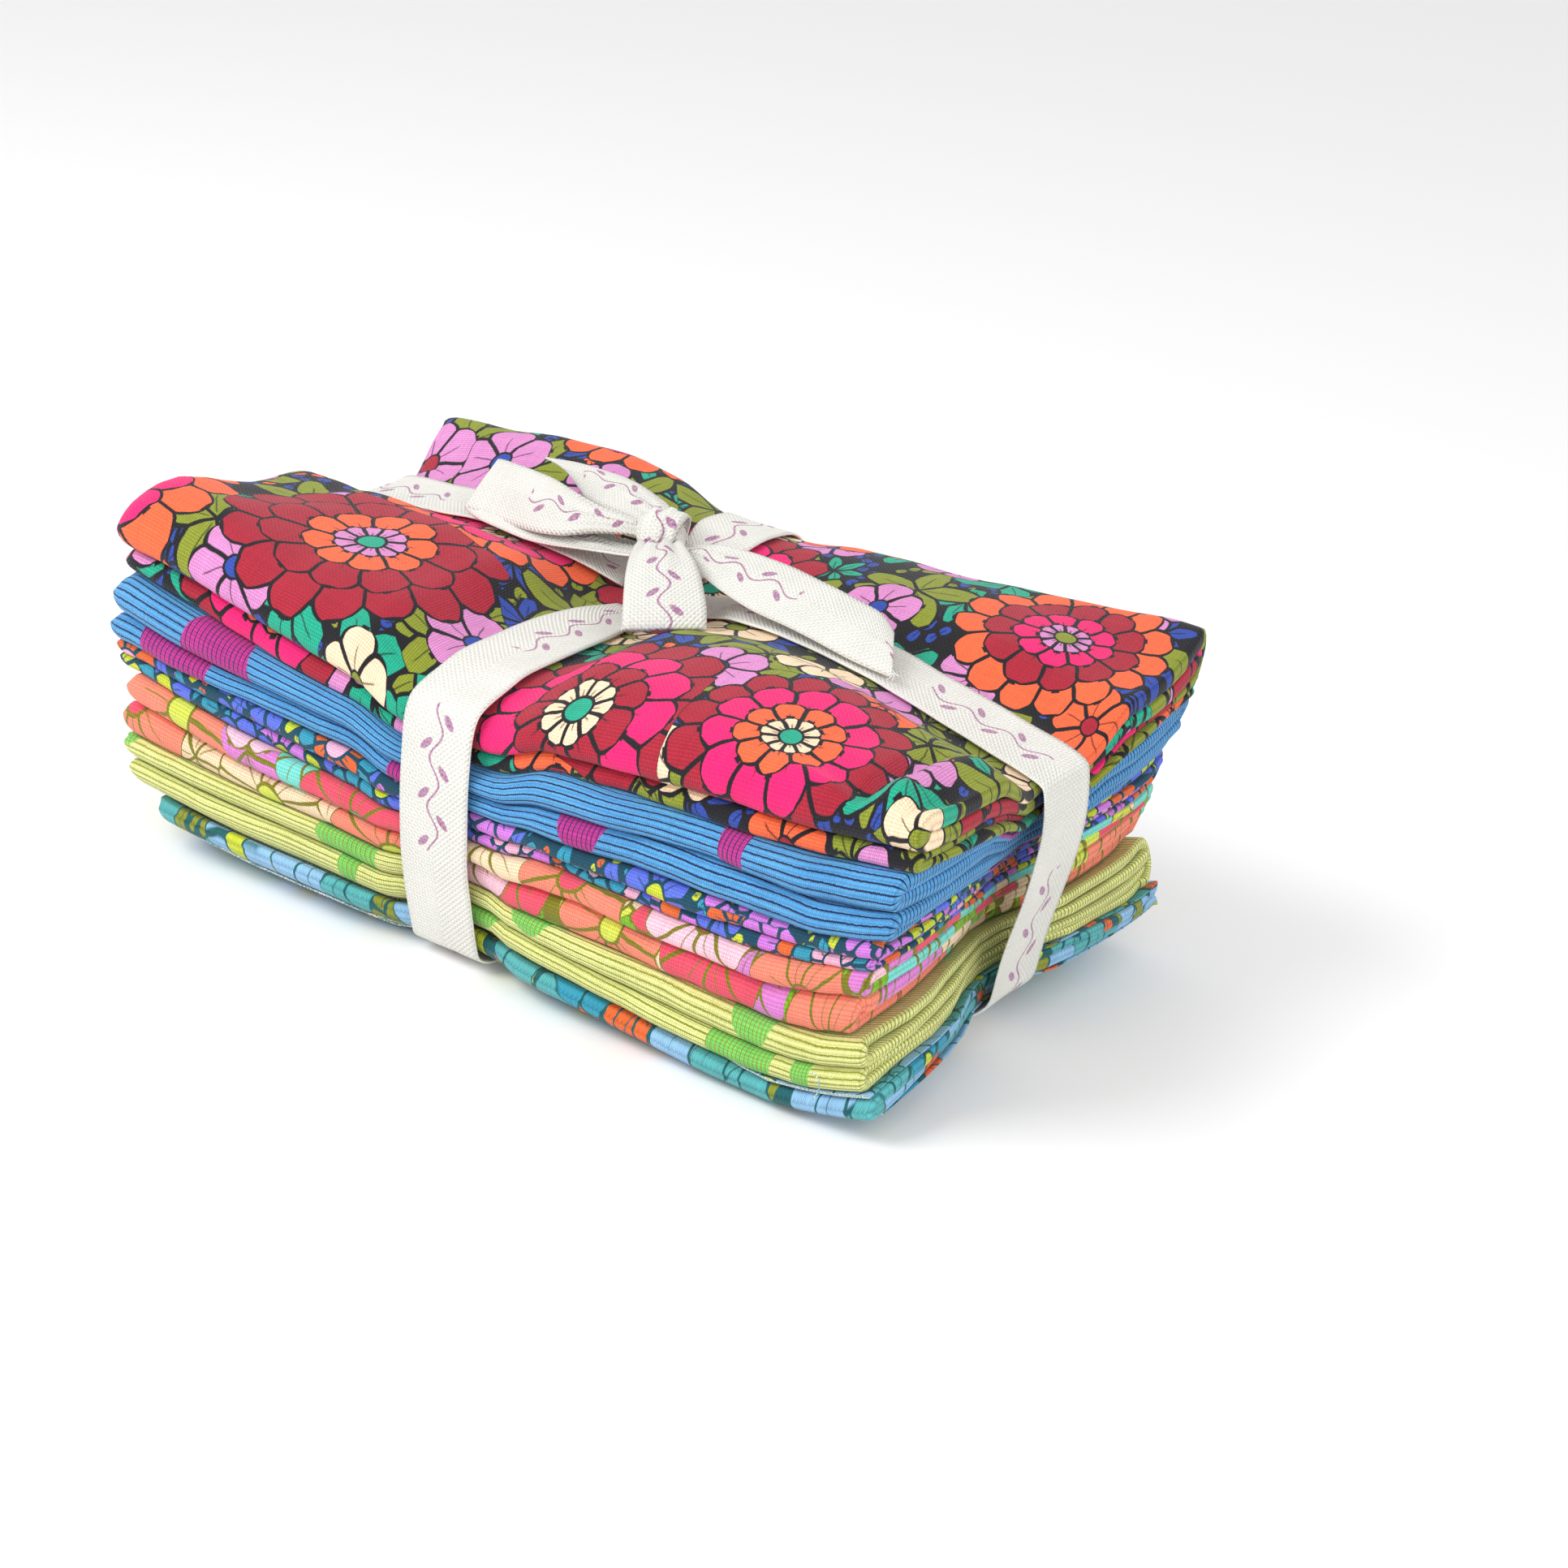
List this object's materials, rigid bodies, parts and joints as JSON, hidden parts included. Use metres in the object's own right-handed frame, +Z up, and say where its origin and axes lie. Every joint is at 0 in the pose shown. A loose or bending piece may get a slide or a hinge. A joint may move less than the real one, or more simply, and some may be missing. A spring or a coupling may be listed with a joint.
{
  "type": "fat quarter bundle",
  "caption": "Stack of folded printed cotton fabric cuts, tied both ways with a flat cotton tape and a bow on top.",
  "frame": {"origin": "on the surface below the middle of the bundle's box", "axes": "+X along the bundle's long side, +Y from its folded front to its back, +Z up"},
  "size_m": [0.24, 0.138, 0.0947],
  "materials": {
    "cloth_rose_floral": "matte printed cotton",
    "cloth_blue_line": "matte printed cotton",
    "cloth_teal_floral": "matte printed cotton",
    "cloth_coral_floral": "matte printed cotton",
    "cloth_lime_line": "matte printed cotton",
    "cloth_aqua_floral": "matte printed cotton",
    "tape": "matte cotton twill"
  },
  "bodies": {
    "root": {"cloth_rose_floral": "cloth_rose_floral", "cloth_blue_line": "cloth_blue_line", "cloth_teal_floral": "cloth_teal_floral", "cloth_coral_floral": "cloth_coral_floral", "cloth_lime_line": "cloth_lime_line", "cloth_aqua_floral": "cloth_aqua_floral", "tie_band_cross": "tape", "tie_band_long": "tape", "tie_knot": "tape", "tie_loop_front": "tape", "tie_loop_left": "tape", "tie_tail_back": "tape", "tie_tail_right": "tape"}
  },
  "joints": []
}
